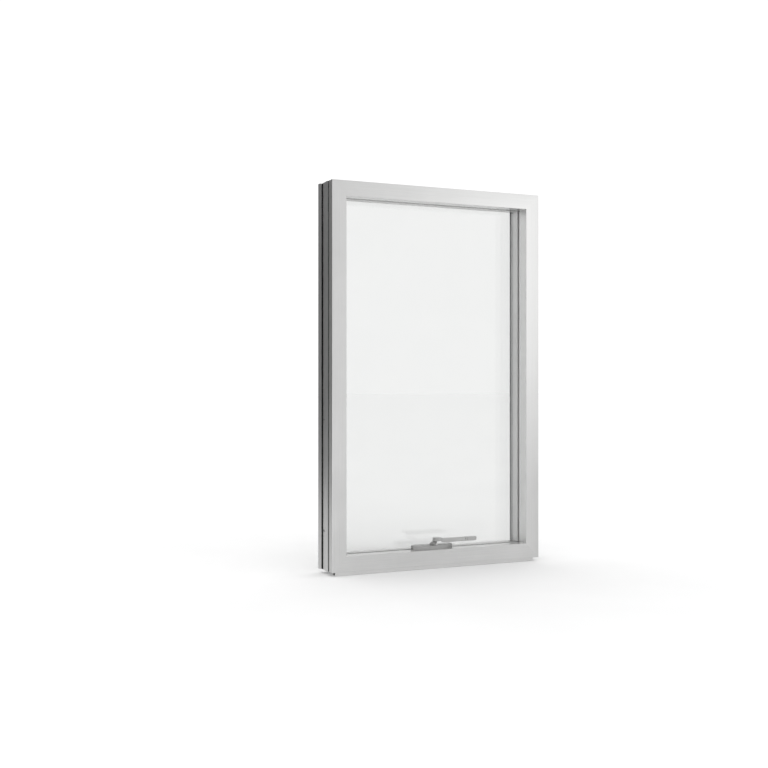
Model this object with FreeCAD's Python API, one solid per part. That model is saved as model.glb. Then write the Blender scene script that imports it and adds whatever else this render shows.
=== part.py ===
"""Top-hung (awning) aluminium window with a crank operator, modelled as its real pieces.

A thermally broken frame holds an outswinging sash that carries a sealed double-glazed unit.
Two-bar stays in the jamb cavities carry the sash: a support arm, and a shoe that slides in a track.
The crank on the sill turns a worm, the worm turns two gear arms, and their links push the sash out.

Sections are drawn in (u, d): u runs in from the outside edge of the frame towards the glass,
and d runs from the room face towards the outside. While the pieces are made, z = 0 is the
underside of the frame and y = 0 is the room face. save() moves them to the part's own frame,
whose origin is the centre of the base rail's underside. Millimetres, +Y outdoors, +Z up.
"""

import FreeCAD
import Part
import math
import os

Vector = FreeCAD.Vector
X_AXIS = Vector(1, 0, 0)
Y_AXIS = Vector(0, 1, 0)
Z_AXIS = Vector(0, 0, 1)

# Driving dimensions: overall sizes
frame_width = 610.0
frame_height = 980.0
frame_depth = 89.0
frame_sightline = 39.5      # width of the frame's room face
bead_sightline = 41.0       # outside edge of the frame to the glazing bead's edge
outdoor_sightline = 38.0    # and to the sash lip's edge outdoors
wall = 2.0                  # extrusion wall
edge_radius = 0.8           # rounding of the edges that show

# Frame section
leg_depth = 35.0            # room-side box that the sash closes against
cavity_floor = 12.0         # u of the hardware cavity's floor
frame_break_from = 58.0
frame_break_to = 70.5
groove_from = 19.2          # black seal groove round the outside
groove_to = 26.6
groove_deep = 5.0
waist = 1.0                 # how far the outside narrows at the thermal break
break_thickness = 1.8
seal_sink = 1.0             # the black seal lies this far below the outside

# Sash section
sash_edge = 22.0            # u of the sash's outer edge
sash_gap = 6.5              # leg to sash, filled by the bulb seal
sash_inner_depth = 16.5
sash_box_height = 14.0
sash_break_length = 11.0
sash_lip = 3.5              # thickness of the outdoor lip
lip_edge = 15.0             # u of the lip that covers the cavity
bead_thickness = 1.6

# Glazing
pane = 4.0
air_gap = 11.0
glass_edge = 29.0           # u of the glass edge
gasket_thickness = 1.5
spacer_height = 5.5
sealant_height = 3.5
setting_block_length = 100.0
setting_block_gap = 0.5     # block to each face of the glazing pocket

# Base rail under the sill
rail_height = 9.5
rail_depth = 18.5
rail_from = 9.75
rail_inset = 12.8
rail_wall = 1.6

# Stays
stay_depth = 50.0           # d of the line that the pivots lie on
stay_arm = 260.0            # pivot to pivot, and shoe pivot to arm pivot
stay_top = 20.0             # shoe pivot below the top of the frame
track_width = 16.0
track_base = 1.5
track_lip_height = 4.0
track_lip = 1.4
arm_thickness = 2.2
arm_width = 13.0
plate_width = 13.0
rivet_radius = 2.5
pin_clearance = 0.05

# Operator
operator_x = -13.5          # the crank sits a little left of centre
spindle_tilt = 57.0         # degrees that the spindle leans into the room
worm_depth = 27.0           # d of the worm's centre
worm_height = 45.5          # z of the worm's centre
worm_radius = 3.5
worm_lead = 1.35
gear_teeth = 36
tooth_height = 0.4          # above and below the pitch line
gear_thickness = 3.6
post_radius = 3.0
link_length = 245.0
stud_depth = 51.0
arm_level = 12.8            # underside of the gear arms
linkage_thickness = 2.5
linkage_gap = 0.6
linkage_half_width = 3.6
knee_pin_radius = 2.0
stud_radius = 2.3
stud_top = 33.0
bracket_slot_play = 2.5
base_thickness = 3.0
cover_x = -8.7
cover_length = 117.0
cover_height = 12.5
cover_front = 5.5           # d of the cover's bowed front, at its middle
cover_end_front = 22.0      # and at its ends
cover_back = 36.0
cover_wall = 1.6
snout_foot_radius = 7.2
snout_tip_radius = 6.0
spindle_radius = 3.4
barrel_top = 30.3           # along the spindle from the worm's centre
hub_at = 43.0               # and the knuckle's centre
hub_radius = 11.5           # round knuckle, upright while the crank is parked
hub_height = 9.0
handle_reach = 116.0
handle_height = 11.0
handle_thickness = 5.0
handle_drop = 3.4           # the lever's middle lies this far below the knuckle's
handle_forward = 2.2        # and this far into the room from it
grip_length = 35.0

# Installation
anchor_radius = 3.25
anchor_depth = 53.5
anchor_heights = (100.0, 380.0)
anchor_head_spacing = 300.0

# Derived stations
half_width = frame_width / 2
seat_depth = rail_from + rail_depth / 2
sash_face = leg_depth + sash_gap
sash_break_from = sash_face + sash_inner_depth
sash_break_to = sash_break_from + sash_break_length
sash_top_of_box = sash_edge + sash_box_height
lip_from = frame_depth - sash_lip
glass_to = lip_from - gasket_thickness
glass_from = glass_to - 2 * pane - air_gap
bead_back = glass_from - gasket_thickness
tilt = math.radians(spindle_tilt)
lead_angle = math.atan(worm_lead / (2 * math.pi * worm_radius))
knee_depth = (stud_depth + worm_depth) / 2
knee_reach = math.sqrt(link_length ** 2 - ((stud_depth - worm_depth) / 2) ** 2)
shoe_pivot_z = frame_height - stay_top
arm_pivot_z = shoe_pivot_z - stay_arm
base_pivot_z = shoe_pivot_z - 2 * stay_arm
# ---- end of sizes


# ---------------------------------------------------------------- outlines and members

def outline(corners):
    """Closed wire from (a, b) or (a, b, radius) corners, drawn in the plane x = 0 with y = b and z = a."""
    count = len(corners)
    starts, ends, mids = [], [], []
    for i, corner in enumerate(corners):
        here = Vector(0, corner[1], corner[0])
        radius = corner[2] if len(corner) > 2 else 0.0
        if radius == 0.0:
            starts.append(here)
            ends.append(here)
            mids.append(None)
            continue
        before = corners[i - 1]
        after = corners[(i + 1) % count]
        to_before = (Vector(0, before[1], before[0]) - here).normalize()
        to_after = (Vector(0, after[1], after[0]) - here).normalize()
        half_angle = to_before.getAngle(to_after) / 2
        tangent = radius / math.tan(half_angle)
        centre = here + (to_before + to_after).normalize() * (radius / math.sin(half_angle))
        starts.append(here + to_before * tangent)
        ends.append(here + to_after * tangent)
        mids.append(centre + (here - centre).normalize() * radius)
    edges = []
    for i in range(count):
        if mids[i] is not None:
            edges.append(Part.Arc(starts[i], mids[i], ends[i]).toShape())
        edges.append(Part.LineSegment(ends[i], starts[(i + 1) % count]).toShape())
    return Part.Wire(edges)


def section(corners, holes=()):
    """Face in the plane x = 0 from one outline and any chambers inside it."""
    face = Part.Face(outline(corners))
    for hole in holes:
        face = face.cut(Part.Face(outline(hole)))
    return face


SIDES = ("sill", "head", "jamb_left", "jamb_right")
TURNS = {"sill": 0, "head": 180, "jamb_left": 90, "jamb_right": -90}


def to_side(shape, side):
    """Moves a piece made for the sill, from x = 0 at its left end, to its own side of the frame."""
    corner = {
        "sill": Vector(-half_width, 0, 0),
        "head": Vector(half_width, 0, frame_height),
        "jamb_left": Vector(-half_width, 0, frame_height),
        "jamb_right": Vector(half_width, 0, 0),
    }[side]
    moved = shape.copy()
    moved.rotate(Vector(0, 0, 0), Y_AXIS, TURNS[side])
    moved.translate(corner)
    return moved


def side_length(side):
    return frame_width if side in ("sill", "head") else frame_height


def member(face, side):
    """Extrudes a (u, d) section along one side and mitres both ends."""
    length = side_length(side)
    reach = frame_sightline + 10
    bar = face.extrude(Vector(length, 0, 0))
    trapezoid = Part.makePolygon([
        Vector(0, -1, 0), Vector(length, -1, 0), Vector(length - reach, -1, reach),
        Vector(reach, -1, reach), Vector(0, -1, 0),
    ])
    mitre = Part.Face(trapezoid).extrude(Vector(0, frame_depth + 2, 0))
    return to_side(bar.common(mitre).Solids[0], side)


def ring(face):
    """The same section on all four sides, as four mitred solids."""
    return [member(face, side) for side in SIDES]


def box(x_from, x_to, y_from, y_to, z_from, z_to):
    return Part.makeBox(x_to - x_from, y_to - y_from, z_to - z_from, Vector(x_from, y_from, z_from))


def cylinder(radius, start, end):
    direction = end - start
    return Part.makeCylinder(radius, direction.Length, start, direction)


def mirrored(shape, x_plane=0.0):
    return shape.mirror(Vector(x_plane, 0, 0), X_AXIS)


def save(name, pieces):
    """Writes one node: its solids, moved so that the origin is under the base rail's centre."""
    solids = []
    for piece in pieces:
        solids.extend(piece.Solids)
    node = Part.makeCompound(solids) if len(solids) > 1 else solids[0].copy()
    node.translate(Vector(0, -seat_depth, rail_height))
    node.exportStep("parts/" + name + ".step")


# ---------------------------------------------------------------- frame

def frame_inner_section():
    """Room-side extrusion: the box that shows in the room, and the wall under the hardware cavity."""
    corners = [
        (0, 0, edge_radius), (frame_sightline, 0, edge_radius), (frame_sightline, leg_depth, edge_radius),
        (cavity_floor, leg_depth), (cavity_floor, frame_break_from),
        (waist, frame_break_from), (waist, 49.0), (0, 34.0), (0, 32.3), (0.5, groove_to),
        (groove_deep, groove_to), (groove_deep, groove_from), (0, groove_from),
        (0.5, 13.4), (1.5, 7.0), (0, 7.0),
    ]
    room_chamber = [
        (3.5, wall), (frame_sightline - wall, wall), (frame_sightline - wall, leg_depth - wall),
        (cavity_floor, leg_depth - wall), (groove_deep + wall, groove_to),
        (groove_deep + wall, groove_from - wall), (3.5, groove_from - wall),
    ]
    cavity_chamber = [
        (2.5, groove_to + wall), (5.0, groove_to + wall), (cavity_floor - wall, 37.0),
        (cavity_floor - wall, frame_break_from - wall), (waist + wall, frame_break_from - wall),
        (waist + wall, 50.5), (2.5, 35.0),
    ]
    return section(corners, [room_chamber, cavity_chamber])


SEAL_ROOT = (32.5, 35.5)      # u range of the bulb seal's root
SEAL_ROOT_DEPTH = 1.2


def seal_slot_section():
    return section([
        (SEAL_ROOT[0], leg_depth - SEAL_ROOT_DEPTH), (SEAL_ROOT[1], leg_depth - SEAL_ROOT_DEPTH),
        (SEAL_ROOT[1], leg_depth + 1), (SEAL_ROOT[0], leg_depth + 1),
    ])


def bulb_seal_section():
    """Root in the slot, and a round-nosed bulb that nearly fills the gap to the sash."""
    nose = leg_depth + sash_gap - 0.3
    middle = (SEAL_ROOT[0] + SEAL_ROOT[1]) / 2
    half = 3.0
    return section([
        (SEAL_ROOT[0], leg_depth - SEAL_ROOT_DEPTH), (SEAL_ROOT[1], leg_depth - SEAL_ROOT_DEPTH),
        (SEAL_ROOT[1], leg_depth), (middle + half, leg_depth), (middle + half, nose, half - 0.05),
        (middle - half, nose, half - 0.05), (middle - half, leg_depth), (SEAL_ROOT[0], leg_depth),
    ])


def frame_outer_section():
    corners = [
        (cavity_floor, frame_break_to), (cavity_floor, frame_depth, edge_radius),
        (0, frame_depth, edge_radius),
        (0, 77.0), (waist, frame_break_to),
    ]
    chamber = [
        (cavity_floor - wall, frame_break_to + wall), (cavity_floor - wall, frame_depth - wall),
        (wall, frame_depth - wall), (wall, 78.0), (waist + wall, frame_break_to + wall),
    ]
    return section(corners, [chamber])


def strip_section(u_from, u_to, d_from, d_to):
    return section([(u_from, d_from), (u_to, d_from), (u_to, d_to), (u_from, d_to)])


def anchor_holes(side):
    """Drills for the installation screws, made where the pieces of this side lie."""
    if side == "head":
        places = [Vector(x, anchor_depth, frame_height - cavity_floor - 1)
                  for x in (-anchor_head_spacing / 2, anchor_head_spacing / 2)]
        return [cylinder(anchor_radius, p, p + Vector(0, 0, cavity_floor + 2)) for p in places]
    sign = -1 if side == "jamb_left" else 1
    start_x = sign * (half_width - cavity_floor - 1)
    return [cylinder(anchor_radius, Vector(start_x, anchor_depth, z),
                     Vector(sign * (half_width + 1), anchor_depth, z)) for z in anchor_heights]


body_half = 24.0              # gearbox block that drops through the sill's top wall
body_front = 21.0


def operator_cuts():
    """Slot in the sill's top wall for the gearbox, and window in its back wall for the arms."""
    top = box(operator_x - body_half - 0.3, operator_x + body_half + 0.3, body_front - 0.3, leg_depth - wall,
              frame_sightline - wall - 1, frame_sightline + 1)
    window = box(operator_x - 32, operator_x + 32, leg_depth - wall - 0.5, leg_depth + 0.5,
                 cavity_floor, arm_level + linkage_thickness + 1.2)
    return [top, window] + operator_screw_holes(2.0, frame_sightline - wall - 1, frame_sightline + 1)


def operator_screw_places():
    return [(cover_x + side * 41.0, worm_depth + 0.5) for side in (-1, 1)]


def operator_screw_holes(radius, z_from, z_to):
    return [cylinder(radius, Vector(x, y, z_from), Vector(x, y, z_to)) for x, y in operator_screw_places()]


def make_frame():
    slot = seal_slot_section()
    inner = frame_inner_section().cut(slot)
    outer = frame_outer_section()
    for side in SIDES:
        inner_bar = member(inner, side)
        if side == "sill":
            for tool in operator_cuts():
                inner_bar = inner_bar.cut(tool)
        else:
            for tool in anchor_holes(side):
                inner_bar = inner_bar.cut(tool)
        for tool in track_screw_cuts(side):
            inner_bar = inner_bar.cut(tool)
        save("frame_" + side + "_inner", [inner_bar])
        outer_bar = member(outer, side)
        if side == "sill":
            for tool in weep_slots():
                outer_bar = outer_bar.cut(tool)
        save("frame_" + side + "_outer", [outer_bar])
    low = strip_section(waist + 0.5, waist + 0.5 + break_thickness, frame_break_from, frame_break_to)
    high = strip_section(cavity_floor - break_thickness, cavity_floor, frame_break_from, frame_break_to)
    save("frame_thermal_breaks", ring(low) + ring(high))
    save("frame_bulb_seal", ring(bulb_seal_section()))
    save("frame_corner_keys", corner_keys(14.0, 32.0, 5.0, 16.0, 72.0))
    seal = strip_section(seal_sink, groove_deep, groove_from, groove_to)
    save("perimeter_seal", [member(seal, side) for side in SIDES if side != "sill"])
    save("base_rail", [base_rail()])
    save("weep_covers", weep_covers())


def corner_keys(u_from, u_to, d_from, d_to, reach):
    """L-shaped keys inside the four mitres."""
    keys = []
    for x_sign in (-1, 1):
        for top in (False, True):
            x_out = x_sign * (half_width - u_from)
            x_in = x_sign * (half_width - u_to)
            x_far = x_sign * (half_width - reach)
            level = box(min(x_out, x_far), max(x_out, x_far), d_from, d_to, u_from, u_to)
            upright = box(min(x_out, x_in), max(x_out, x_in), d_from, d_to, u_from, reach)
            key = level.fuse(upright).removeSplitter()
            if top:
                key = key.mirror(Vector(0, 0, frame_height / 2), Z_AXIS)
            keys.append(key)
    return keys


def base_rail():
    """Hollow rail that the window stands on; its tongue fills the sill's outer groove."""
    middle_from = groove_from + 0.1
    middle_to = groove_to - 0.1
    corners = [
        (-rail_height, rail_from, edge_radius), (-rail_height, rail_from + rail_depth, edge_radius),
        (0, rail_from + rail_depth), (0, middle_to), (groove_deep, middle_to), (groove_deep, middle_from),
        (0, middle_from), (0, rail_from),
    ]
    chamber = [
        (-rail_height + rail_wall, rail_from + rail_wall),
        (-rail_height + rail_wall, rail_from + rail_depth - rail_wall),
        (-rail_wall, rail_from + rail_depth - rail_wall), (-rail_wall, rail_from + rail_wall),
    ]
    bar = section(corners, [chamber]).extrude(Vector(frame_width - 2 * rail_inset, 0, 0))
    bar.translate(Vector(-half_width + rail_inset, 0, 0))
    return bar


WEEP_XS = (-190.0, 190.0)
WEEP_LENGTH = 28.0
WEEP_HEIGHT = 5.0


def weep_slots():
    """Drain slots through the sill's outdoor wall."""
    return [box(x - WEEP_LENGTH / 2, x + WEEP_LENGTH / 2, frame_depth - wall - 1, frame_depth + 1,
                4.0, 4.0 + WEEP_HEIGHT) for x in WEEP_XS]


def weep_covers():
    """Flap covers pressed over the drain slots, with a spigot in each slot."""
    covers = []
    for x in WEEP_XS:
        spigot = box(x - WEEP_LENGTH / 2 + 0.2, x + WEEP_LENGTH / 2 - 0.2, frame_depth - wall, frame_depth,
                     4.2, 3.8 + WEEP_HEIGHT)
        hood = box(x - WEEP_LENGTH / 2 - 3, x + WEEP_LENGTH / 2 + 3, frame_depth, frame_depth + 2.5,
                   2.5, 6.0 + WEEP_HEIGHT)
        hood = hood.makeFillet(1.0, [e for e in hood.Edges if e.BoundBox.YMin > frame_depth + 2.4])
        mouth = box(x - WEEP_LENGTH / 2, x + WEEP_LENGTH / 2, frame_depth + 1.0, frame_depth + 1.8, 2.0, 6.5)
        covers.append(spigot.fuse(hood).cut(mouth))
    return covers


# ---------------------------------------------------------------- sash

def sash_inner_section():
    corners = [
        (sash_edge, sash_face), (sash_top_of_box, sash_face), (sash_top_of_box, 49.3),
        (sash_top_of_box - 1.3, 49.3),
        (sash_top_of_box - 1.3, 51.1), (sash_top_of_box, 51.1), (sash_top_of_box, sash_break_from),
        (sash_edge, sash_break_from),
    ]
    chamber = [
        (sash_edge + wall, sash_face + wall), (sash_top_of_box - wall, sash_face + wall),
        (sash_top_of_box - wall, sash_break_from - wall), (sash_edge + wall, sash_break_from - wall),
    ]
    return section(corners, [chamber])


def sash_outer_section():
    """Floor of the glazing pocket, and the outdoor lip that laps the glass and covers the cavity."""
    return section([
        (sash_edge, sash_break_to), (sash_edge + 5.6, sash_break_to), (sash_edge + 5.6, sash_break_to + wall),
        (sash_edge + wall, sash_break_to + wall), (sash_edge + wall, lip_from), (outdoor_sightline, lip_from),
        (outdoor_sightline, frame_depth, edge_radius), (lip_edge, frame_depth, edge_radius),
        (lip_edge, lip_from),
        (sash_edge, lip_from),
    ])


def bead_section():
    """Snap-in glazing bead: its foot sits in the sash's slot and its back leg holds the gasket."""
    inside = bead_sightline - bead_thickness
    return section([
        (sash_top_of_box, sash_face), (bead_sightline, sash_face, edge_radius),
        (bead_sightline, bead_back, edge_radius), (30.0, bead_back), (30.0, bead_back - bead_thickness),
        (inside, bead_back - bead_thickness), (inside, 51.0), (sash_top_of_box - 1.2, 51.0),
        (sash_top_of_box - 1.2, 49.4), (inside, 49.4), (inside, sash_face + bead_thickness),
        (sash_top_of_box, sash_face + bead_thickness),
    ])


def pane_box(d_from, d_to, u):
    return box(-half_width + u, half_width - u, d_from, d_to, u, frame_height - u)


def rim(d_from, d_to, u_from, u_to):
    """Rectangular ring between two insets."""
    return pane_box(d_from, d_to, u_from).cut(pane_box(d_from - 1, d_to + 1, u_to))


def make_sash():
    inner = sash_inner_section()
    outer = sash_outer_section()
    bead = bead_section()
    for side in SIDES:
        bar = member(inner, side)
        if side == "sill":
            for tool in stud_windows(sash_edge - 1, sash_edge + wall + 1) + bracket_screw_holes():
                bar = bar.cut(tool)
        for tool in plate_screw_cuts(side):
            bar = bar.cut(tool)
        place = {"sill": "bottom", "head": "top", "jamb_left": "left", "jamb_right": "right"}[side]
        save("sash_" + place + "_inner", [bar])
        save("sash_" + place + "_outer", [member(outer, side)])
        save("glazing_bead_" + place, [member(bead, side)])
    low = strip_section(sash_edge, sash_edge + 1.6, sash_break_from, sash_break_to)
    high = strip_section(sash_edge + 4.0, sash_edge + 5.6, sash_break_from, sash_break_to)
    save("sash_thermal_breaks", ring(low) + ring(high))
    key_from = sash_edge + wall + 0.5
    key_to = sash_top_of_box - wall - 0.5
    save("sash_corner_keys", corner_keys(key_from, key_to, sash_face + wall + 0.5,
                                         sash_break_from - wall - 0.5, 70.0))
    inner_pane_to = glass_from + pane
    outer_pane_from = glass_to - pane
    save("glass_pane_room", [pane_box(glass_from, inner_pane_to, glass_edge)])
    save("glass_pane_outdoor", [pane_box(outer_pane_from, glass_to, glass_edge)])
    spacer_from = glass_edge + sealant_height
    save("glass_edge_sealant", [rim(inner_pane_to, outer_pane_from, glass_edge, spacer_from)])
    tube = rim(inner_pane_to, outer_pane_from, spacer_from, spacer_from + spacer_height)
    bore = rim(inner_pane_to + 1, outer_pane_from - 1, spacer_from + 1, spacer_from + spacer_height - 1)
    save("glass_spacer_bar", [tube.cut(bore)])
    save("glazing_gasket_room", ring(strip_section(32.0, bead_sightline - 1.0, bead_back, glass_from)))
    save("glazing_gasket_outdoor", ring(strip_section(31.0, outdoor_sightline - 0.5, glass_to, lip_from)))
    block_from = sash_break_to + wall + setting_block_gap
    blocks = [box(x - setting_block_length / 2, x + setting_block_length / 2, block_from,
                  lip_from - setting_block_gap, sash_edge + wall, glass_edge) for x in (-140.0, 140.0)]
    save("setting_blocks", blocks)


# ---------------------------------------------------------------- stays

track_floor_u = cavity_floor + track_base
arm_from_u = cavity_floor + track_lip_height + 0.6
plate_from_u = arm_from_u + arm_thickness + 0.4
shoe_length = 34.0
shoe_above = 6.0                # shoe above its pivot
track_top = frame_height - cavity_floor - 1.0
track_bottom = base_pivot_z - 16.0
plate_top = shoe_pivot_z - 3.0 + 6.0
plate_bottom = arm_pivot_z - 14.0
track_screw_heights = (base_pivot_z + 60.0, base_pivot_z + 200.0, base_pivot_z + 340.0)
plate_screw_heights = (shoe_pivot_z - 60.0, shoe_pivot_z - 130.0, shoe_pivot_z - 200.0)
screw_radius = 1.9
screw_head_radius = 3.3


def left_x(u):
    return -half_width + u


def x_pin(radius, u_from, u_to, z):
    """Round pin across the left jamb's cavity, on the stay's pivot line."""
    return cylinder(radius, Vector(left_x(u_from), stay_depth, z), Vector(left_x(u_to), stay_depth, z))


def countersunk(radius, head_radius, start, end):
    """Hole for a screw, from its head's face at start to its tip at end."""
    direction = (end - start).normalize()
    head = Part.makeCone(head_radius, radius, head_radius - radius, start, direction)
    return head.fuse(cylinder(radius, start, end)).removeSplitter()


def with_recess(screws, depth=1.2):
    """Screws with the driver's recess in each head."""
    done = []
    for screw in screws:
        face = min(screw.Faces, key=lambda f: -f.Area if f.Surface.TypeId == "Part::GeomPlane" else 0.0)
        normal = face.normalAt(0, 0)
        centre = face.CenterOfMass
        done.append(screw.cut(cylinder(1.1, centre + normal, centre - normal * depth)))
    return done


def track_screws():
    return [countersunk(screw_radius, screw_head_radius, Vector(left_x(track_floor_u), stay_depth, z),
                        Vector(left_x(3.0 + wall), stay_depth, z)) for z in track_screw_heights]


def plate_screws():
    return [countersunk(screw_radius, screw_head_radius, Vector(left_x(plate_from_u), stay_depth, z),
                        Vector(left_x(sash_edge + 8.0), stay_depth, z)) for z in plate_screw_heights]


def on_both_jambs(left_pieces, side):
    """The left jamb's tools, their mirror images for the right jamb, and none for the sill or head."""
    if side == "jamb_left":
        return left_pieces
    if side == "jamb_right":
        return [mirrored(p) for p in left_pieces]
    return []


def screw_hole(u_from, u_to, z):
    return x_pin(screw_radius, u_from, u_to, z)


def track_screw_cuts(side):
    return on_both_jambs([screw_hole(3.0 + wall, track_floor_u, z) for z in track_screw_heights], side)


def plate_screw_cuts(side):
    return on_both_jambs([screw_hole(sash_edge - 1, sash_edge + 8.0, z) for z in plate_screw_heights], side)


def hinge_track():
    """Channel screwed to the jamb's cavity floor, with the base pivot's pin at its foot."""
    y_from = stay_depth - track_width / 2
    y_to = stay_depth + track_width / 2
    base = box(left_x(cavity_floor), left_x(track_floor_u), y_from, y_to, track_bottom, track_top)
    near = box(left_x(cavity_floor), left_x(cavity_floor + track_lip_height), y_from, y_from + track_lip,
               track_bottom, track_top)
    far = box(left_x(cavity_floor), left_x(cavity_floor + track_lip_height), y_to - track_lip, y_to,
              track_bottom, track_top)
    boss = x_pin(rivet_radius + 2.5, track_floor_u - 0.5, arm_from_u - 0.1, base_pivot_z)
    pin = x_pin(rivet_radius, track_floor_u, arm_from_u + arm_thickness, base_pivot_z)
    pin_head = x_pin(rivet_radius + 1.0, arm_from_u + arm_thickness + 0.1, arm_from_u + arm_thickness + 1.0,
                     base_pivot_z)
    neck = x_pin(rivet_radius, arm_from_u, arm_from_u + arm_thickness + 0.5, base_pivot_z)
    track = base.fuse([near, far, boss, pin, neck, pin_head]).removeSplitter()
    for screw in track_screws():
        track = track.cut(screw)
    return track


def flat_arm(u_from, u_to, z_from, z_to, half):
    """Flat bar on the pivot line with round ends centred at z_from and z_to."""
    middle = box(left_x(u_from), left_x(u_to), stay_depth - half, stay_depth + half, z_from, z_to)
    ends = [x_pin(half, u_from, u_to, z) for z in (z_from, z_to)]
    return middle.fuse(ends).removeSplitter()


def support_arm():
    """Bar between the base pivot and the sash plate, with the upper pivot's pin in it."""
    arm = flat_arm(arm_from_u, arm_from_u + arm_thickness, base_pivot_z, arm_pivot_z, arm_width / 2)
    arm = arm.cut(x_pin(rivet_radius + pin_clearance,
                       arm_from_u - 1, arm_from_u + arm_thickness + 1, base_pivot_z))
    pin = x_pin(rivet_radius, arm_from_u, sash_edge - 0.4, arm_pivot_z)
    return arm.fuse(pin).removeSplitter()


def sash_plate():
    """Flat bar screwed to the sash's edge, with holes for the arm's pin and the shoe's pin."""
    plate = box(left_x(plate_from_u), left_x(sash_edge), stay_depth - plate_width / 2,
                stay_depth + plate_width / 2,
                plate_bottom, plate_top)
    for z in (arm_pivot_z, shoe_pivot_z):
        plate = plate.cut(x_pin(rivet_radius + pin_clearance, plate_from_u - 1, sash_edge + 1, z))
    for screw in plate_screws():
        plate = plate.cut(screw)
    return plate


def sliding_shoe():
    """Block that slides in the track, with a pin up into the sash plate."""
    half = track_width / 2 - track_lip - 0.3
    body = box(left_x(track_floor_u + 0.2), left_x(arm_from_u + arm_thickness),
               stay_depth - half, stay_depth + half,
               shoe_pivot_z + shoe_above - shoe_length, shoe_pivot_z + shoe_above)
    length = body.BoundBox.XLength
    body = body.makeFillet(1.5, [e for e in body.Edges if abs(e.BoundBox.XLength - length) < 0.01])
    pin = x_pin(rivet_radius, arm_from_u, sash_edge - 0.4, shoe_pivot_z)
    return body.fuse(pin).removeSplitter()


def make_stays():
    for name, maker in (("stay_track", hinge_track), ("stay_support_arm", support_arm),
                        ("stay_sash_plate", sash_plate), ("stay_shoe", sliding_shoe)):
        piece = maker()
        save(name + "_left", [piece])
        save(name + "_right", [mirrored(piece)])
    for name, screws in (("stay_track_screws", track_screws()), ("stay_plate_screws", plate_screws())):
        screws = with_recess(screws)
        save(name, screws + [mirrored(s) for s in screws])


# ---------------------------------------------------------------- operator

worm_centre = Vector(operator_x, worm_depth, worm_height)


def thread_angle(side):
    """Angle of the left-hand thread above the horizontal, where it meets the gear on that side."""
    return tilt - side * lead_angle


def gear_radius(side):
    """Pitch radius: both gears have the same teeth, but the leaning worm meets them at different angles."""
    transverse_pitch = worm_lead * math.cos(lead_angle) / math.sin(thread_angle(side))
    return gear_teeth * transverse_pitch / (2 * math.pi)


def gear_pivot(side):
    return Vector(operator_x + side * (worm_radius + gear_radius(side)), worm_depth, 0)


def knee_point(side):
    return Vector(gear_pivot(side).x + side * knee_reach, knee_depth, 0)


def stud_point(side):
    return Vector(gear_pivot(side).x, stud_depth, 0)


def on_spindle(shape):
    """Turns a piece made along +Z about the worm's centre into the leaning spindle's place."""
    placed = shape.copy()
    placed.rotate(Vector(0, 0, 0), X_AXIS, spindle_tilt)
    placed.translate(worm_centre)
    return placed


def upright(radius, z_from, z_to, x=0.0, y=0.0):
    return Part.makeCylinder(radius, z_to - z_from, Vector(x, y, z_from))


flat_from = barrel_top + 0.2    # where the spindle's flat starts
WORM_TURNS = 5                # odd, so that a groove faces the right-hand gear at mid height
THREAD_ROOT_HALF = 0.34
THREAD_TIP_HALF = 0.15


def worm_thread():
    """One left-hand trapezoidal thread, so that the crank opens the window counterclockwise."""
    height = WORM_TURNS * worm_lead
    start = -height / 2
    root = worm_radius - tooth_height - 0.1
    tip = worm_radius + tooth_height
    helix = Part.makeHelix(worm_lead, height, root)
    helix.translate(Vector(0, 0, start))
    profile = Part.makePolygon([
        Vector(root, 0, start - THREAD_ROOT_HALF), Vector(tip, 0, start - THREAD_TIP_HALF),
        Vector(tip, 0, start + THREAD_TIP_HALF), Vector(root, 0, start + THREAD_ROOT_HALF),
        Vector(root, 0, start - THREAD_ROOT_HALF),
    ])
    thread = Part.Wire(helix.Edges).makePipeShell([profile], True, True)
    return thread.mirror(Vector(0, 0, 0), Y_AXIS)


def worm_shaft():
    """Spindle with the worm at its foot and a flatted end for the crank's hub."""
    shaft_top = hub_at + 1.5
    core = upright(worm_radius - tooth_height - 0.05, -4.4, 5.0)
    spindle = upright(spindle_radius, 4.8, shaft_top)
    foot = upright(2.0, -6.2, -4.2)
    collar = upright(spindle_radius + 1.0, 4.8, 6.3)
    shaft = core.fuse([spindle, foot, collar, worm_thread()])
    flat = box(-10, 10, spindle_radius - 0.9, 10, flat_from, shaft_top + 1)
    return on_spindle(shaft.cut(flat))


def gear_tooth(side, angle):
    """Tooth at one angle, twisted so that it lies along the worm's thread."""
    pitch_radius = gear_radius(side)
    root = pitch_radius - tooth_height - 0.4
    tip = pitch_radius + tooth_height - 0.1
    widen = 1 / math.sin(thread_angle(side))
    root_half = 0.38 * widen
    tip_half = 0.13 * widen
    twist = -side * (gear_thickness / 2) / math.tan(thread_angle(side)) / pitch_radius
    wires = []
    for level in (-1, 0, 1):
        corners = []
        for radius, half in ((root, -root_half), (tip, -tip_half), (tip, tip_half), (root, root_half)):
            a = angle + level * twist + half / radius
            corners.append(Vector(radius * math.cos(a), radius * math.sin(a),
                                  worm_height + level * gear_thickness / 2))
        wires.append(Part.makePolygon(corners + corners[:1]))
    lower = Part.makeLoft(wires[:2], True, True)
    return lower.fuse(Part.makeLoft(wires[1:], True, True))


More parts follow.
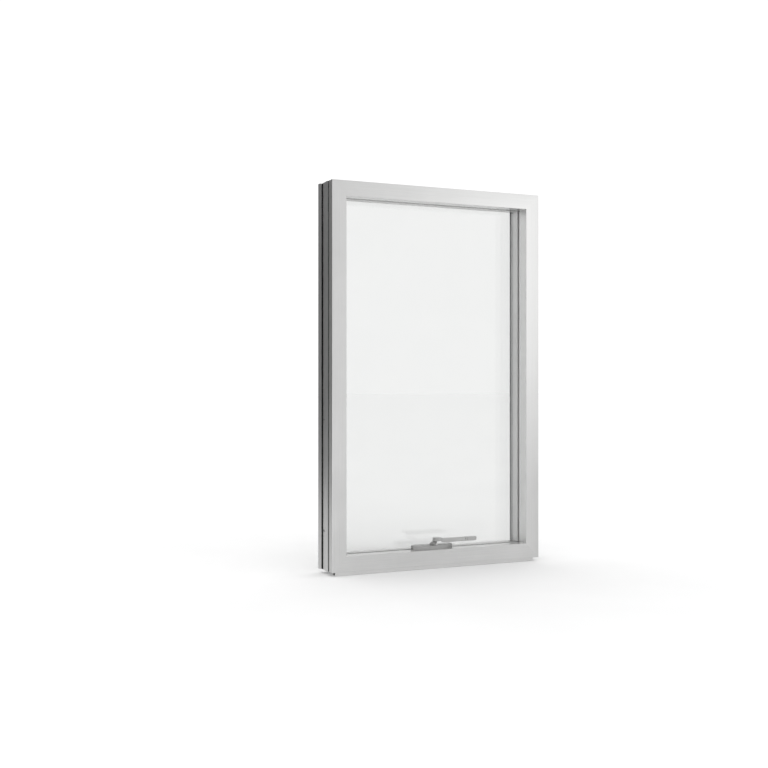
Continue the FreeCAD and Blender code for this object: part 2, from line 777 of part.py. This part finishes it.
def gear_arm(side):
    """Vertical shaft with a toothed sector above and the drive arm below, for side -1 left or 1 right."""
    gear_low = worm_height - gear_thickness / 2
    gear_high = gear_low + gear_thickness
    pitch = 2 * math.pi / gear_teeth
    start = math.pi if side > 0 else pitch / 2
    towards_worm = math.pi if side > 0 else 0.0
    angles = []
    for i in range(-5, 6):
        angle = start + i * pitch
        ahead = (towards_worm - angle) * side
        if -1.2 * pitch <= ahead <= arm_travel + 1.2 * pitch:
            angles.append(angle)
    low_angle = min(angles) - pitch
    high_angle = max(angles) + pitch
    sector = Part.makeCylinder(gear_radius(side) - tooth_height - 0.2, gear_thickness, Vector(0, 0, gear_low),
                               Z_AXIS, math.degrees(high_angle - low_angle))
    sector.rotate(Vector(0, 0, 0), Z_AXIS, math.degrees(low_angle))
    teeth = [gear_tooth(side, angle) for angle in angles]
    hub = upright(post_radius + 2.0, gear_low, gear_high)
    post = upright(post_radius, arm_level, gear_high + 0.8)
    gear = sector.fuse(teeth + [hub, post])
    pivot = gear_pivot(side)
    knee = knee_point(side)
    gear.translate(pivot)
    elbow = Vector(pivot.x + side * 10.0, knee_depth + 0.6, 0)
    arm = strap([pivot, elbow, knee], arm_level, linkage_half_width)
    boss = upright(post_radius + 2.5, arm_level, arm_level + linkage_thickness, pivot.x, pivot.y)
    link_top = link_level + linkage_thickness
    knee_pin = upright(knee_pin_radius, arm_level, link_top + 0.3, knee.x, knee.y)
    knee_head = upright(knee_pin_radius + 1.0, link_top + 0.05, link_top + 0.8, knee.x, knee.y)
    return gear.fuse([arm, boss, knee_pin, knee_head]).removeSplitter()


arm_travel = math.radians(25.0)
link_level = arm_level + linkage_thickness + linkage_gap


def strap(points, z_from, half):
    """Flat bar along straight runs with round joints."""
    pieces = [upright(half, z_from, z_from + linkage_thickness, p.x, p.y) for p in points]
    for a, b in zip(points, points[1:]):
        run = b - a
        bar = box(0, run.Length, -half, half, 0, linkage_thickness)
        bar.rotate(Vector(0, 0, 0), Z_AXIS, math.degrees(math.atan2(run.y, run.x)))
        bar.translate(Vector(a.x, a.y, z_from))
        pieces.append(bar)
    return pieces[0].fuse(pieces[1:]).removeSplitter()


def push_link(side):
    """Link from the knee to the sash, with a stud that stands up into the sash's bottom rail."""
    knee = knee_point(side)
    end = stud_point(side)
    bar = strap([knee, end], link_level, linkage_half_width)
    bar = bar.cut(upright(knee_pin_radius + pin_clearance, link_level - 1, link_level + 5, knee.x, knee.y))
    stud = upright(stud_radius, link_level, stud_top, end.x, end.y)
    return bar.fuse(stud).removeSplitter()


def stud_windows(z_from, z_to):
    """Slots that the two studs pass through, with play across the sash."""
    cuts = []
    for side in (-1, 1):
        x = stud_point(side).x
        half_x = stud_radius + 0.6
        half_y = stud_radius + bracket_slot_play
        cuts.append(box(x - half_x, x + half_x, stud_depth - half_y, stud_depth + half_y, z_from, z_to))
    return cuts


bracket_half_length = 40.0
bracket_from = sash_edge - 2.2
bracket_screw_xs = (-33.0, 0.0, 33.0)


def bracket_screws():
    return [countersunk(1.7, 3.2, Vector(operator_x + x, stud_depth, bracket_from),
                        Vector(operator_x + x, stud_depth, sash_edge + 6.0)) for x in bracket_screw_xs]


def bracket_screw_holes():
    return [
        upright(1.7, sash_edge - 1, sash_edge + 6.0, operator_x + x, stud_depth)
        for x in bracket_screw_xs
    ]


def sash_bracket():
    """Slotted plate under the sash's bottom rail that the studs push."""
    plate = box(operator_x - bracket_half_length, operator_x + bracket_half_length, sash_face + 0.5,
                sash_break_from - 0.5, bracket_from, sash_edge)
    for tool in stud_windows(bracket_from - 1, sash_edge + 1) + bracket_screws():
        plate = plate.cut(tool)
    return plate


def operator_body():
    """Die-cast gearbox: block in the sill's chamber, base plate on the sill, barrel round the spindle."""
    block = box(operator_x - body_half, operator_x + body_half, body_front, leg_depth - wall - 0.3,
                18.0, frame_sightline + 0.5)
    base_top = frame_sightline + base_thickness
    base = box(cover_x - 46, cover_x + 46, body_front,
               cover_back - cover_wall - 0.6, frame_sightline, base_top)
    base = base.makeFillet(3.0, [e for e in base.Edges if e.BoundBox.ZLength > base_thickness - 0.01])
    barrel = Part.makeCone(snout_foot_radius, snout_tip_radius, barrel_top + 3.0, Vector(0, 0, -3.0), Z_AXIS)
    above_sill = box(-100, 100, -100, 100, frame_sightline, 200)
    above_sill.translate(Vector(operator_x, 0, 0))
    barrel = on_spindle(barrel).common(above_sill)
    lug = box(operator_x - 4.5, operator_x + 4.5, worm_depth + 3.0, cover_back - cover_wall - 0.6,
              frame_sightline, worm_height - gear_thickness / 2 - 0.2)
    body = block.fuse([base, barrel, lug])
    gears_low = worm_height - gear_thickness / 2 - 0.6
    gears_high = worm_height + gear_thickness / 2 + 1.2
    body = body.cut(box(operator_x - 40, operator_x + 40, worm_depth - 7.5,
                        cover_back + 5, gears_low, gears_high))
    body = body.cut(on_spindle(upright(worm_radius + tooth_height + 0.6, -4.9, 6.4)))
    body = body.cut(on_spindle(upright(2.0 + pin_clearance, -6.6, 0.0)))
    body = body.cut(on_spindle(upright(spindle_radius + pin_clearance, 5.0, hub_at)))
    for side in (-1, 1):
        pivot = gear_pivot(side)
        body = body.cut(upright(post_radius + pin_clearance, 16.0, gears_high, pivot.x, pivot.y))
    for screw in operator_screws():
        body = body.cut(screw)
    return body.removeSplitter()


def operator_screws():
    top = frame_sightline + base_thickness
    return [countersunk(2.0, 3.8, Vector(x, y, top), Vector(x, y, frame_sightline - 8.0))
            for x, y in operator_screw_places()]


def cover_plan(offset):
    """Plan with a straight back, short ends and a bowed front, drawn inside the outline by offset."""
    half = cover_length / 2 - offset
    back = cover_back - offset
    end_front = cover_end_front + offset
    bow = Part.Arc(Vector(-half, end_front, 0), Vector(0, cover_front + offset, 0),
                   Vector(half, end_front, 0)).toShape()
    corners = [Vector(half, end_front, 0), Vector(half, back, 0), Vector(-half, back, 0),
               Vector(-half, end_front, 0)]
    lines = [Part.LineSegment(a, b).toShape() for a, b in zip(corners, corners[1:])]
    return Part.Face(Part.Wire([bow] + lines))


def cover_block(offset, height, round_ends, round_top):
    block = cover_plan(offset).extrude(Vector(0, 0, height))
    ends = [e for e in block.Edges if e.BoundBox.ZLength > height - 0.01]
    block = block.makeFillet(round_ends, ends)
    tops = [e for e in block.Edges if e.BoundBox.ZMin > height - 0.01]
    return block.makeFillet(round_top, tops)


def operator_cover():
    """Shell that hides the gearbox, with a hole for the barrel."""
    outer = cover_block(0.0, cover_height, 3.7, 3.6)
    inner = cover_block(cover_wall, cover_height - cover_wall, 2.2, 2.1)
    shell = outer.cut(inner)
    shell.translate(Vector(cover_x, 0, frame_sightline))
    return shell.cut(on_spindle(upright(snout_foot_radius + 0.1, -4.0, 60.0)))


hub_centre = worm_centre + Vector(0, -math.sin(tilt), math.cos(tilt)) * hub_at
lever_y = hub_centre.y - handle_forward
lever_z = hub_centre.z - handle_drop
grip_pivot_x = operator_x + handle_reach - grip_length + 4.5


def bar_along_x(x_from, x_to, height, thickness):
    """Upright flat bar on the lever's middle line."""
    return box(x_from, x_to, lever_y - thickness / 2, lever_y + thickness / 2, lever_z - height / 2,
               lever_z + height / 2)


def fold_pin(radius, height):
    return upright(radius, lever_z - height / 2, lever_z + height / 2, grip_pivot_x, lever_y)


def crank_handle():
    """Round knuckle on the spindle and a lever that steps down from it, forked for the folding grip."""
    top = hub_centre.z + hub_height / 2
    knuckle = upright(hub_radius, top - hub_height, top, operator_x, hub_centre.y)
    knuckle = knuckle.makeFillet(1.0, knuckle.Edges)
    lever_top = lever_z + handle_height / 2
    lever_bottom = lever_z - handle_height / 2
    side_view = [
        (0, top - 1.2), (10.0, top - 1.2), (17.0, lever_top), (grip_pivot_x - operator_x, lever_top),
        (grip_pivot_x - operator_x, lever_bottom), (16.0, lever_bottom), (9.5, top - hub_height),
        (0, top - hub_height),
    ]
    points = [Vector(operator_x + x, lever_y - handle_thickness / 2, z) for x, z in side_view]
    lever = Part.Face(Part.makePolygon(points + points[:1])).extrude(Vector(0, handle_thickness, 0))
    long_edges = [e for e in lever.Edges if e.BoundBox.XLength > 30 and e.BoundBox.YLength < 0.01]
    lever = lever.makeFillet(1.0, long_edges)
    handle = knuckle.fuse([lever, fold_pin(handle_thickness / 2, handle_height)])
    slot = box(grip_pivot_x - 4.5, grip_pivot_x + 10, lever_y - 10, lever_y + 10,
               lever_z - 2.4, lever_z + 2.4)
    bore = upright(spindle_radius + pin_clearance, hub_at - 20, hub_at + 1.5 + pin_clearance)
    flat = box(-10, 10, spindle_radius - 0.9 + pin_clearance, 10, hub_at - 21, hub_at + 5)
    set_hole = cylinder(1.6, Vector(0, 2.0, hub_at - 1.5), Vector(0, hub_radius, hub_at - 1.5))
    return handle.cut([slot, fold_pin(1.5, handle_height + 2),
                       on_spindle(bore.cut(flat)), on_spindle(set_hole)])


def crank_set_screw():
    """Grub screw in the knuckle that bears on the spindle's flat."""
    foot = spindle_radius - 0.9 + pin_clearance
    body = cylinder(1.6, Vector(0, foot, hub_at - 1.5), Vector(0, foot + 2.6, hub_at - 1.5))
    socket = cylinder(0.8, Vector(0, foot + 1.2, hub_at - 1.5), Vector(0, foot + 3.0, hub_at - 1.5))
    return on_spindle(body.cut(socket))


def folding_grip():
    """Finger grip that lies in line with the lever and folds out into the room."""
    knuckle_radius = handle_thickness / 2 - 0.1
    tongue = bar_along_x(grip_pivot_x, grip_pivot_x + 7.0, 4.2, 2 * knuckle_radius)
    body = bar_along_x(grip_pivot_x + 2.9, operator_x + handle_reach, handle_height, handle_thickness)
    tip_x = operator_x + handle_reach
    tip = [e for e in body.Edges if e.BoundBox.XMin > tip_x - 0.01 and e.BoundBox.YLength > 1]
    body = body.makeFillet(3.4, tip)
    long_edges = [e for e in body.Edges if e.BoundBox.XLength > 20 and e.BoundBox.YLength < 0.01]
    body = body.makeFillet(0.9, long_edges)
    grip = body.fuse([tongue, fold_pin(knuckle_radius, 4.2)])
    return grip.cut(fold_pin(1.5 + pin_clearance, handle_height)).removeSplitter()


def grip_pin():
    return fold_pin(1.5, handle_height)


def make_operator():
    save("operator_body", [operator_body()])
    save("operator_cover", [operator_cover()])
    save("operator_screws", with_recess(operator_screws()))
    save("worm_shaft", [worm_shaft()])
    for name, side in (("left", -1), ("right", 1)):
        save("gear_arm_" + name, [gear_arm(side)])
        save("push_link_" + name, [push_link(side)])
    save("sash_bracket", [sash_bracket()])
    save("bracket_screws", with_recess(bracket_screws()))
    save("crank_handle", [crank_handle()])
    save("crank_set_screw", [crank_set_screw()])
    save("folding_grip", [folding_grip()])
    save("grip_pin", [grip_pin()])


os.makedirs("parts", exist_ok=True)
make_frame()
make_sash()
make_stays()
make_operator()
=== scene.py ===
"""Looks for the crank-operated awning window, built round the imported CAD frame.

The CAD pieces stay where they are. Each gets softened edges and a procedural material: satin
anodised extrusions with draw lines, rubber, polyamide, float glass, brushed stainless, plated
steel and powder-coated die castings. The floor, the studio light and the camera follow.
"""

import math

import bpy
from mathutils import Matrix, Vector

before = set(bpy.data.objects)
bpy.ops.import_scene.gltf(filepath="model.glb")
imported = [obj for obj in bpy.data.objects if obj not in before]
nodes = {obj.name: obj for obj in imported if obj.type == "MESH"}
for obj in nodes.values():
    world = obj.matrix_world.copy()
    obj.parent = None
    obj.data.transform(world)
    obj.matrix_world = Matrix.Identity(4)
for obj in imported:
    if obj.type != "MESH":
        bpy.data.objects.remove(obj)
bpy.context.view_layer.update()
scene = bpy.context.scene


# ---------------------------------------------------------------- node helpers

class Shader:
    """A material's node tree, with short calls for the nodes used here."""

    def __init__(self, name):
        self.material = bpy.data.materials.new(name)
        self.material.use_nodes = True
        self.tree = self.material.node_tree
        self.tree.nodes.clear()
        self.output = self.tree.nodes.new("ShaderNodeOutputMaterial")
        self.coords = self.tree.nodes.new("ShaderNodeTexCoord").outputs["Object"]

    def link(self, source, target):
        self.tree.links.new(source, target)
        return source

    def node(self, kind, **settings):
        made = self.tree.nodes.new(kind)
        for key, value in settings.items():
            setattr(made, key, value)
        return made

    def stretched(self, scale):
        mapping = self.node("ShaderNodeMapping")
        mapping.inputs["Scale"].default_value = scale
        self.link(self.coords, mapping.inputs["Vector"])
        return mapping.outputs["Vector"]

    def noise(self, scale=1.0, stretch=(1, 1, 1), detail=4.0, roughness=0.5):
        made = self.node("ShaderNodeTexNoise")
        made.inputs["Scale"].default_value = scale
        made.inputs["Detail"].default_value = detail
        made.inputs["Roughness"].default_value = roughness
        self.link(self.stretched(stretch), made.inputs["Vector"])
        return made.outputs["Fac"]

    def spread(self, value, low, high, from_low=0.3, from_high=0.7):
        """Map the middle of a noise, from_low to from_high, onto low to high."""
        made = self.node("ShaderNodeMapRange")
        made.inputs["From Min"].default_value = from_low
        made.inputs["From Max"].default_value = from_high
        made.inputs["To Min"].default_value = low
        made.inputs["To Max"].default_value = high
        self.link(value, made.inputs["Value"])
        return made.outputs["Result"]

    def math(self, operation, a, b):
        made = self.node("ShaderNodeMath", operation=operation)
        for socket, value in zip(made.inputs, (a, b)):
            if isinstance(value, (int, float)):
                socket.default_value = value
            else:
                self.link(value, socket)
        return made.outputs["Value"]

    def mix(self, factor, dark, light):
        made = self.node("ShaderNodeMix", data_type="RGBA")
        self.link(factor, made.inputs["Factor"])
        made.inputs["A"].default_value = (*dark, 1)
        made.inputs["B"].default_value = (*light, 1)
        return made.outputs["Result"]

    def mix_in(self, factor, colour, light):
        """A second colour laid over a colour that already varies."""
        made = self.node("ShaderNodeMix", data_type="RGBA")
        self.link(factor, made.inputs["Factor"])
        self.link(colour, made.inputs["A"])
        made.inputs["B"].default_value = (*light, 1)
        return made.outputs["Result"]

    def bump(self, height, strength, distance=0.0001):
        made = self.node("ShaderNodeBump")
        made.inputs["Strength"].default_value = strength
        made.inputs["Distance"].default_value = distance
        self.link(height, made.inputs["Height"])
        return made.outputs["Normal"]

    def edge_wear_and_highlight(self, low=0.52, high=0.60):
        """1 on convex edges and 0 on flats: where edges are painted lighter, partly rubbed wear and
        partly a painted highlight.
        """
        geometry = self.node("ShaderNodeNewGeometry")
        return self.spread(geometry.outputs["Pointiness"], 0.0, 1.0, low, high)

    def principled(self, **sockets):
        shader = self.node("ShaderNodeBsdfPrincipled")
        for name, value in sockets.items():
            socket = shader.inputs[name.replace("_", " ")]
            if isinstance(value, (int, float, tuple)):
                socket.default_value = value
            else:
                self.link(value, socket)
        self.link(shader.outputs["BSDF"], self.output.inputs["Surface"])
        return self.material


# ---------------------------------------------------------------- materials

AXIS_STRETCH = {"x": (0.012, 1.0, 1.0), "z": (1.0, 1.0, 0.012)}


def anodised(name, axis, light, dark, rough=(0.30, 0.40)):
    """Satin anodised extrusion: draw lines along the bar, faint clouding and matte bloom."""
    s = Shader(name)
    lines = s.noise(2600.0, AXIS_STRETCH[axis], 3.0, 0.6)
    broad_lines = s.noise(420.0, AXIS_STRETCH[axis], 2.0, 0.5)
    clouds = s.noise(7.0, (1, 1, 1), 5.0, 0.6)
    grit = s.noise(5200.0, (1, 1, 1), 2.0, 0.5)
    tone = s.math("ADD", s.math("MULTIPLY", lines, 0.30), s.math("MULTIPLY", clouds, 0.45))
    tone = s.math("ADD", tone, s.math("MULTIPLY", broad_lines, 0.25))
    colour = s.mix(s.spread(tone, 0.0, 1.0, 0.38, 0.62), dark, light)
    # Convex edges painted lighter, towards near white: partly wear, partly a painted highlight along
    # the edges.
    colour = s.mix_in(s.math("MULTIPLY", s.edge_wear_and_highlight(), 0.35), colour, (0.93, 0.93, 0.92))
    roughness = s.spread(s.math("ADD", s.math("MULTIPLY", lines, 0.6), s.math("MULTIPLY", clouds, 0.4)),
                         rough[0], rough[1])
    height = s.math("ADD", s.math("MULTIPLY", lines, 0.7), s.math("MULTIPLY", grit, 0.5))
    normal = s.bump(height, 0.18)
    return s.principled(Base_Color=colour, Metallic=0.88, Roughness=roughness, Normal=normal)


def brushed_stainless():
    s = Shader("brushed_stainless")
    lines = s.noise(3000.0, (1.0, 1.0, 0.015), 3.0, 0.6)
    smudges = s.noise(24.0, (1, 1, 1), 4.0, 0.6)
    colour = s.mix(s.spread(lines, 0.0, 1.0), (0.40, 0.40, 0.39), (0.60, 0.60, 0.585))
    worn = s.math("ADD", s.math("MULTIPLY", lines, 0.6), s.math("MULTIPLY", smudges, 0.4))
    roughness = s.spread(worn, 0.24, 0.42)
    return s.principled(Base_Color=colour, Metallic=1.0, Roughness=roughness,
                        Normal=s.bump(lines, 0.22))


def plated_steel(name="plated_steel"):
    s = Shader(name)
    speckle = s.noise(900.0, (1, 1, 1), 3.0, 0.55)
    clouds = s.noise(60.0, (1, 1, 1), 4.0, 0.6)
    colour = s.mix(s.spread(clouds, 0.0, 1.0), (0.36, 0.36, 0.35), (0.54, 0.54, 0.53))
    # Convex edges painted lighter: partly wear, partly a painted highlight along the edges.
    colour = s.mix_in(s.math("MULTIPLY", s.edge_wear_and_highlight(), 0.5), colour, (0.72, 0.72, 0.71))
    return s.principled(Base_Color=colour, Metallic=1.0, Roughness=s.spread(speckle, 0.26, 0.44),
                        Normal=s.bump(speckle, 0.12))


def powder_coat(name, light, dark):
    """Powder-coated die casting: fine orange peel, and lighter edges that are partly rubbed wear and
    partly a painted highlight.
    """
    s = Shader(name)
    peel = s.noise(1400.0, (1, 1, 1), 2.0, 0.45)
    fine = s.noise(6000.0, (1, 1, 1), 2.0, 0.5)
    clouds = s.noise(40.0, (1, 1, 1), 4.0, 0.55)
    tone = s.math("ADD", s.math("MULTIPLY", clouds, 0.7), s.math("MULTIPLY", fine, 0.3))
    colour = s.mix(s.spread(tone, 0.0, 1.0, 0.35, 0.65), dark, light)
    # Convex edges painted lighter: partly rubbed wear, partly a painted highlight.
    colour = s.mix_in(s.math("MULTIPLY", s.edge_wear_and_highlight(0.53, 0.64), 0.4), colour, (0.66, 0.66, 0.65))
    roughness = s.spread(clouds, 0.30, 0.42)
    height = s.math("ADD", s.math("MULTIPLY", peel, 0.8), s.math("MULTIPLY", fine, 0.25))
    normal = s.bump(height, 0.20)
    return s.principled(Base_Color=colour, Metallic=0.55, Roughness=roughness, Normal=normal,
                        Coat_Weight=0.15, Coat_Roughness=0.28)


def rubber(name, light, dark):
    """Extruded rubber: faint lengthwise flow lines and pale dust."""
    s = Shader(name)
    flow = s.noise(900.0, AXIS_STRETCH["z"], 3.0, 0.6)
    dust = s.noise(160.0, (1, 1, 1), 6.0, 0.7)
    colour = s.mix(s.spread(dust, 0.0, 1.0, 0.42, 0.75), dark, light)
    roughness = s.spread(dust, 0.55, 0.82)
    return s.principled(Base_Color=colour, Roughness=roughness, Specular_IOR_Level=0.35,
                        Normal=s.bump(flow, 0.25))


def polyamide():
    """Glass-filled bars: matte black with glints of fibre along the bar."""
    s = Shader("polyamide")
    fibre = s.noise(2600.0, (1.0, 1.0, 0.05), 3.0, 0.7)
    matrix, glint = (0.004, 0.004, 0.0045), (0.022, 0.022, 0.022)
    colour = s.mix(s.spread(fibre, 0.0, 1.0, 0.55, 0.72), matrix, glint)
    return s.principled(Base_Color=colour, Roughness=s.spread(fibre, 0.70, 0.52, 0.4, 0.7),
                        Specular_IOR_Level=0.12,
                        Normal=s.bump(fibre, 0.2))


def moulded(name, light, dark):
    s = Shader(name)
    spark = s.noise(1800.0, (1, 1, 1), 2.0, 0.5)
    clouds = s.noise(80.0, (1, 1, 1), 3.0, 0.5)
    colour = s.mix(s.spread(clouds, 0.0, 1.0), dark, light)
    return s.principled(Base_Color=colour, Roughness=s.spread(spark, 0.42, 0.58),
                        Normal=s.bump(spark, 0.25))


def float_glass(name):
    """Clear float glass: nearly colourless, with a thin film of dust that varies its gloss."""
    s = Shader(name)
    film = s.noise(9.0, (1, 1, 1), 5.0, 0.6)
    wave = s.noise(3.0, (1, 1, 1), 1.0, 0.4)
    colour = s.mix(s.spread(film, 0.0, 1.0), (0.905, 0.909, 0.906), (0.912, 0.915, 0.912))
    return s.principled(Base_Color=colour, Roughness=s.spread(film, 0.0, 0.01), IOR=1.50,
                        Transmission_Weight=1.0,
                        Normal=s.bump(wave, 0.02, 0.0004))


FACE_LIGHT = (0.80, 0.80, 0.795)
FACE_DARK = (0.72, 0.72, 0.715)
metal_x = anodised("anodised_level_bar", "x", FACE_LIGHT, FACE_DARK)
metal_z = anodised("anodised_upright_bar", "z", FACE_LIGHT, FACE_DARK)
sash_x = anodised("anodised_sash_level_bar", "x", (0.70, 0.70, 0.695), (0.62, 0.62, 0.615))
sash_z = anodised("anodised_sash_upright_bar", "z", (0.70, 0.70, 0.695), (0.62, 0.62, 0.615))
mill_metal = anodised("mill_finish", "x", (0.60, 0.60, 0.60), (0.48, 0.48, 0.48), (0.36, 0.5))
stainless = brushed_stainless()
steel = plated_steel()
coat = powder_coat("operator_coat", (0.50, 0.50, 0.495), (0.43, 0.43, 0.425))
cover_coat = powder_coat("cover_coat", (0.46, 0.46, 0.455), (0.39, 0.39, 0.385))
epdm = rubber("epdm", (0.030, 0.030, 0.030), (0.008, 0.008, 0.008))
gasket = rubber("grey_gasket", (0.60, 0.60, 0.60), (0.46, 0.46, 0.46))
bar_plastic = polyamide()
sealant = rubber("edge_sealant", (0.06, 0.06, 0.065), (0.02, 0.02, 0.022))
block_plastic = moulded("setting_block_plastic", (0.16, 0.19, 0.24), (0.10, 0.12, 0.16))
shoe_plastic = moulded("shoe_nylon", (0.16, 0.16, 0.16), (0.08, 0.08, 0.08))
weep_plastic = moulded("weep_cover_plastic", (0.60, 0.60, 0.59), (0.50, 0.50, 0.49))
glass = float_glass("float_glass")


def material_for(name):
    upright = "_jamb_" in name or "_left" in name or "_right" in name
    if name.startswith("frame_") and name.endswith(("_inner", "_outer")):
        return metal_z if upright else metal_x
    if name == "base_rail":
        return metal_x
    is_sash_bar = name.startswith("sash_") and name.endswith(("_inner", "_outer"))
    if is_sash_bar or name.startswith("glazing_bead"):
        return sash_z if upright else sash_x
    if name.endswith("thermal_breaks"):
        return bar_plastic
    if name == "perimeter_seal":
        return epdm
    if name == "frame_bulb_seal" or name.startswith("glazing_gasket"):
        return gasket
    if name.startswith("glass_pane"):
        return glass
    if name == "glass_edge_sealant":
        return sealant
    if name == "glass_spacer_bar" or name.endswith("corner_keys"):
        return mill_metal
    if name == "setting_blocks":
        return block_plastic
    if name == "weep_covers":
        return weep_plastic
    if name.startswith("stay_shoe"):
        return shoe_plastic
    if "screw" in name or name in ("grip_pin", "worm_shaft"):
        return steel
    if name.startswith(("gear_arm", "push_link")):
        return steel
    if name.startswith("stay_") or name == "sash_bracket":
        return stainless
    if name == "operator_cover":
        return cover_coat
    return coat


WELD_DISTANCE = 0.00001
EDGE_BEVEL = 0.0003
BEVELS = {"operator_cover": 0.0, "crank_handle": 0.0, "folding_grip": 0.0, "glass_pane_room": 0.0,
          "glass_pane_outdoor": 0.0, "worm_shaft": 0.0, "gear_arm_left": 0.0, "gear_arm_right": 0.0}


def finish_node(name, obj):
    """Material, softened edges and clean shading for one CAD piece."""
    material = material_for(name)
    obj.data.materials.clear()
    obj.data.materials.append(material)
    weld = obj.modifiers.new("weld", "WELD")
    weld.merge_threshold = WELD_DISTANCE
    width = BEVELS.get(name, EDGE_BEVEL)
    if width > 0:
        bevel = obj.modifiers.new("bevel", "BEVEL")
        bevel.width = width
        bevel.segments = 2
        bevel.limit_method = "ANGLE"
        bevel.angle_limit = math.radians(40)
        bevel.harden_normals = False
    for polygon in obj.data.polygons:
        polygon.use_smooth = True
    smooth = obj.modifiers.new("weighted", "WEIGHTED_NORMAL")
    smooth.keep_sharp = False
    smooth.weight = 80


for node_name, node_object in nodes.items():
    finish_node(node_name, node_object)


# ---------------------------------------------------------------- floor, light and camera

FLOOR_REACH = 30.0      # metres from the object to the floor's edge
FILL = 0.60             # world strength that the metal and glass reflect
FLOOR_LIGHT = 1.18      # world strength that lights the floor and the matt surfaces
FLOOR_ALBEDO = 0.915
BACKDROP = FLOOR_ALBEDO * FLOOR_LIGHT    # seen directly and through glass: as bright as the lit floor

def floor():
    """Pale studio floor, wide enough for every view."""
    mesh = bpy.data.meshes.new("floor")
    reach = FLOOR_REACH
    corners = [(-reach, -reach, 0), (reach, -reach, 0), (reach, reach, 0), (-reach, reach, 0)]
    mesh.from_pydata(corners, [], [(0, 1, 2, 3)])
    obj = bpy.data.objects.new("floor", mesh)
    scene.collection.objects.link(obj)
    s = Shader("floor_paint")
    clouds = s.noise(2.0, (1, 1, 1), 4.0, 0.5)
    colour = s.mix(s.spread(clouds, 0.0, 1.0), (0.90, 0.90, 0.90), (0.93, 0.93, 0.93))
    mesh.materials.append(s.principled(Base_Color=colour, Roughness=0.9, Specular_IOR_Level=0.1))
    obj.visible_glossy = False
    return obj


def area_light(name, place, target, width, height, power):
    light = bpy.data.lights.new(name, "AREA")
    light.shape = "RECTANGLE"
    light.size = width
    light.size_y = height
    light.energy = power
    obj = bpy.data.objects.new(name, light)
    scene.collection.objects.link(obj)
    obj.location = place
    obj.rotation_euler = (Vector(target) - Vector(place)).to_track_quat("-Z", "Y").to_euler()
    return obj


def light_only(name, wanted, lights):
    """These lights shape only the pieces that wanted() picks, never the glass or the floor."""
    lit = bpy.data.collections.new(name)
    for piece, obj in nodes.items():
        if wanted(piece):
            lit.objects.link(obj)
    for light in lights:
        light.light_linking.receiver_collection = lit


def is_metal_work(piece):
    return not piece.startswith("glass_pane")


def is_left_side(piece):
    return is_metal_work(piece) and ("_left" in piece or "sill" in piece or piece == "base_rail")


def dark_card(name, corners):
    """Matt black studio card that only reflections show."""
    mesh = bpy.data.meshes.new(name)
    mesh.from_pydata(corners, [], [(0, 1, 2, 3)])
    obj = bpy.data.objects.new(name, mesh)
    scene.collection.objects.link(obj)
    card = Shader(name + "_felt")
    felt = card.noise(300.0, (1, 1, 1), 4.0, 0.6)
    colour = card.mix(felt, (0.02, 0.02, 0.02), (0.05, 0.05, 0.05))
    mesh.materials.append(card.principled(Base_Color=colour, Roughness=0.95, Specular_IOR_Level=0.05))
    obj.visible_camera = False
    obj.visible_transmission = False
    obj.visible_shadow = False
    obj.visible_diffuse = False
    return obj


def studio_world():
    """White to the eye and on the floor, and a softer surround for what the metal reflects."""
    world = bpy.data.worlds.new("studio")
    world.use_nodes = True
    tree = world.node_tree
    tree.nodes.clear()
    path = tree.nodes.new("ShaderNodeLightPath")

    def choose(switch, if_not, if_so):
        made = tree.nodes.new("ShaderNodeMix")
        tree.links.new(switch, made.inputs["Factor"])
        for socket, value in ((made.inputs["A"], if_not), (made.inputs["B"], if_so)):
            if isinstance(value, float):
                socket.default_value = value
            else:
                tree.links.new(value, socket)
        return made.outputs["Result"]

    strength = choose(path.outputs["Is Diffuse Ray"], FILL, FLOOR_LIGHT)
    strength = choose(path.outputs["Is Transmission Ray"], strength, BACKDROP)
    strength = choose(path.outputs["Is Camera Ray"], strength, BACKDROP)
    background = tree.nodes.new("ShaderNodeBackground")
    background.inputs["Color"].default_value = (1, 1, 1, 1)
    tree.links.new(strength, background.inputs["Strength"])
    output = tree.nodes.new("ShaderNodeOutputWorld")
    tree.links.new(background.outputs["Background"], output.inputs["Surface"])
    scene.world = world


floor()
studio_world()
middle = (0.0, 0.0, 0.5)
light_only("lit_metal", is_metal_work, [
    area_light("upper_right", (2.2, -2.5, 1.3), (0.25, 0.0, 0.75), 1.8, 2.0, 8),
    area_light("back_soft", (0.9, 3.4, 1.6), middle, 2.2, 2.0, 24),
])
light_only("lit_left_side", is_left_side, [
    area_light("low_left", (-0.55, -1.0, 0.10), (-0.32, 0.0, 0.10), 0.9, 0.6, 2.2),
])
dark_card("left_card", [(-3.4, 0.6, -0.06), (-0.2, 3.6, -0.06), (-0.2, 3.6, 3.2), (-3.4, 0.6, 3.2)])

scene.view_settings.view_transform = "Standard"
scene.view_settings.look = "None"

YAW = math.radians(26.15)
camera_data = bpy.data.cameras.new("camera")
camera_data.sensor_width = 36.0
camera_data.lens = 55.8
camera_data.shift_x = 0.0
camera_data.shift_y = -0.0077
camera = bpy.data.objects.new("camera", camera_data)
camera.location = (-1.4928, -2.7305, 0.4948)
camera.rotation_euler = (math.radians(90), 0, -YAW)
scene.collection.objects.link(camera)
scene.camera = camera
